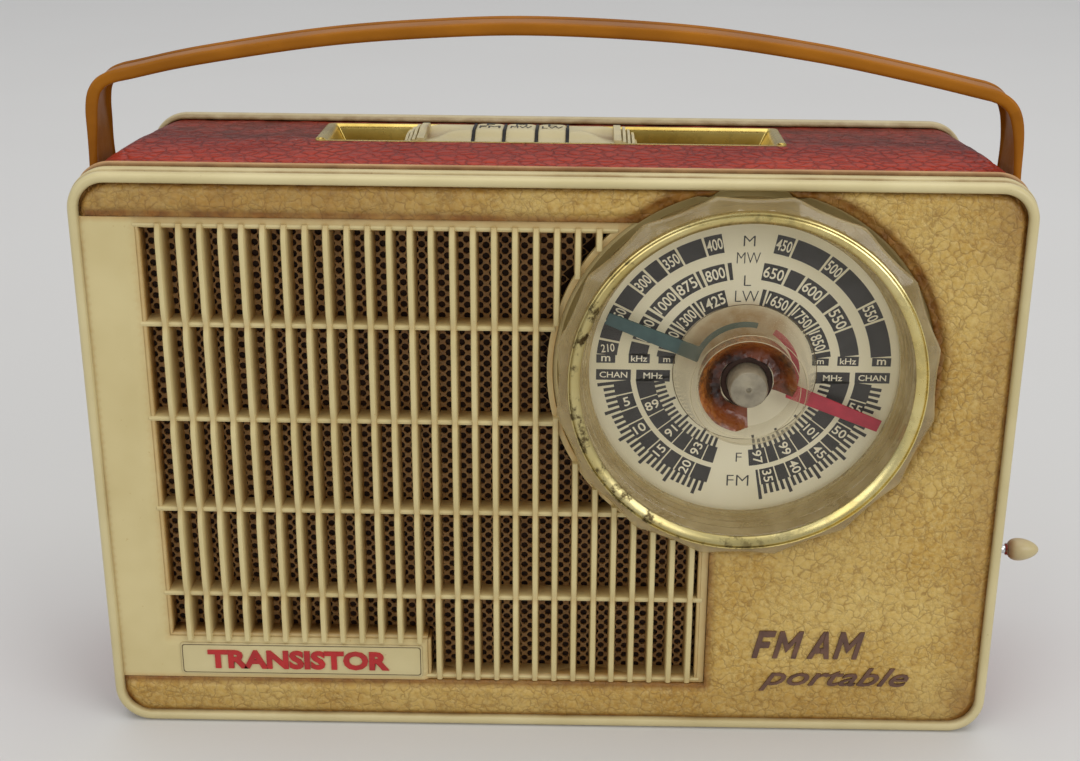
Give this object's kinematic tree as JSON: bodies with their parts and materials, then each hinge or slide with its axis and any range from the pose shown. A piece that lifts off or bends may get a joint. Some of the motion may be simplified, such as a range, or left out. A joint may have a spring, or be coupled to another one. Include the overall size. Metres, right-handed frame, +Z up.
{
  "type": "portable transistor radio",
  "caption": "Suitcase-style portable radio: cream rim and slatted grille, gilt panel, big clear dial knob, covered case, top keys and sliders, strap handle.",
  "frame": {"origin": "centre of the flat underside the radio stands on", "axes": "+X to the right seen from the front, +Y to the back, +Z up; the dial faces -Y"},
  "size_m": [0.3004, 0.0926, 0.2199],
  "materials": {
    "cream": "satin, aged",
    "gilt": "leather grain, worn",
    "red_cloth": "grained leathercloth",
    "piping": "satin",
    "screen": "matt",
    "red_print": "satin",
    "brown_print": "satin",
    "scale_print": "printed",
    "clear": "clear, polished",
    "gold": "bright gilt",
    "green_paint": "painted",
    "red_paint": "painted",
    "boss_plastic": "cloudy",
    "glue": "glassy old adhesive",
    "steel": "plated",
    "alu": "plain",
    "chrome": "polished",
    "black": "matt",
    "back_plastic": "satin",
    "handle_plastic": "satin, mottled",
    "paper": "matt",
    "magnet": "dark",
    "board": "paper laminate",
    "can": "drawn can",
    "capacitor": "sleeved",
    "resistor": "dipped",
    "copper": "enamelled wire",
    "ferrite": "matt",
    "cell": "printed can",
    "brass": "plain"
  },
  "bodies": {
    "case": {"front_frame": "cream", "front_panel": "gilt", "grille_panel": "cream", "speaker_screen": "screen", "badge_plate": "cream", "badge_letters": "red_print", "panel_letters": "brown_print", "dial_well": "cream", "dial_scale": "scale_print", "case_wrap": "red_cloth", "piping_bead": "piping", "cover_bosses": "black", "control_tray": "gold", "key_separators": "black", "switch_bank": "black", "tone_pot": "black", "volume_pot": "black", "handle_pins": "chrome", "aerial_tube": "chrome", "aerial_mounts": "black", "speaker_basket": "steel", "speaker_cone": "paper", "speaker_magnet": "magnet", "speaker_screws": "steel", "circuit_board": "board", "if_cans": "can", "transistors": "black", "capacitors": "capacitor", "resistors": "resistor", "transformers": "steel", "ferrite_rod": "ferrite", "ferrite_coils": "copper", "rod_clips": "black", "battery_holder": "black", "battery_cells": "cell", "battery_contacts": "brass", "gang_frame": "steel", "gang_stator": "alu"},
    "tuning_knob": {"knob_body": "clear", "knob_ring": "gold", "pointer_green": "green_paint", "pointer_red": "red_paint", "hub_boss": "boss_plastic", "hub_glue": "glue", "tuning_shaft": "steel", "gang_rotor": "alu"},
    "key_fm": {"key_fm": "cream"},
    "key_medium": {"key_medium": "cream"},
    "key_long": {"key_long": "cream"},
    "tone_slider": {"tone_slider": "cream"},
    "volume_slider": {"volume_slider": "cream"},
    "handle": {"handle": "handle_plastic"},
    "aerial_1": {"aerial_section_1": "chrome"},
    "aerial_2": {"aerial_section_2": "chrome"},
    "aerial_3": {"aerial_section_3": "chrome"},
    "aerial_4": {"aerial_section_4": "chrome", "aerial_tip": "cream"},
    "cover": {"back_cover": "back_plastic", "back_screws": "brass"}
  },
  "joints": [
    {"name": "tuning_turn", "type": "hinge", "parent": "case", "child": "tuning_knob", "pos_m": [0.0577, 0, 0.1224], "axis": [0, 1, 0], "range_deg": [-22, 158]},
    {"name": "key_fm_press", "type": "slide", "parent": "case", "child": "key_fm", "axis": [0, -0.0473, -0.9989], "range_m": [0, 0.0028], "stiffness_N_per_m": 400, "springref_m": -0.001},
    {"name": "key_medium_press", "type": "slide", "parent": "case", "child": "key_medium", "axis": [0, -0.0473, -0.9989], "range_m": [0, 0.0028], "stiffness_N_per_m": 400, "springref_m": -0.001},
    {"name": "key_long_press", "type": "slide", "parent": "case", "child": "key_long", "axis": [0, -0.0473, -0.9989], "range_m": [0, 0.0028], "stiffness_N_per_m": 400, "springref_m": -0.001},
    {"name": "tone_slide", "type": "slide", "parent": "case", "child": "tone_slider", "axis": [-1, 0, 0], "range_m": [0, 0.022]},
    {"name": "volume_slide", "type": "slide", "parent": "case", "child": "volume_slider", "axis": [1, 0, 0], "range_m": [0, 0.042]},
    {"name": "handle_tilt", "type": "hinge", "parent": "case", "child": "handle", "pos_m": [0, -0.0015, 0.162], "axis": [1, 0, 0], "range_deg": [-20, 20]},
    {"name": "aerial_slide_1", "type": "slide", "parent": "case", "child": "aerial_1", "axis": [1, 0, 0], "range_m": [0, 0.095]},
    {"name": "aerial_slide_2", "type": "slide", "parent": "aerial_1", "child": "aerial_2", "axis": [1, 0, 0], "range_m": [0, 0.095]},
    {"name": "aerial_slide_3", "type": "slide", "parent": "aerial_2", "child": "aerial_3", "axis": [1, 0, 0], "range_m": [0, 0.095]},
    {"name": "aerial_slide_4", "type": "slide", "parent": "aerial_3", "child": "aerial_4", "axis": [1, 0, 0], "range_m": [0, 0.095]},
    {"name": "cover_off", "type": "slide", "parent": "case", "child": "cover", "axis": [0, 1, 0], "range_m": [0, 0.06]}
  ]
}
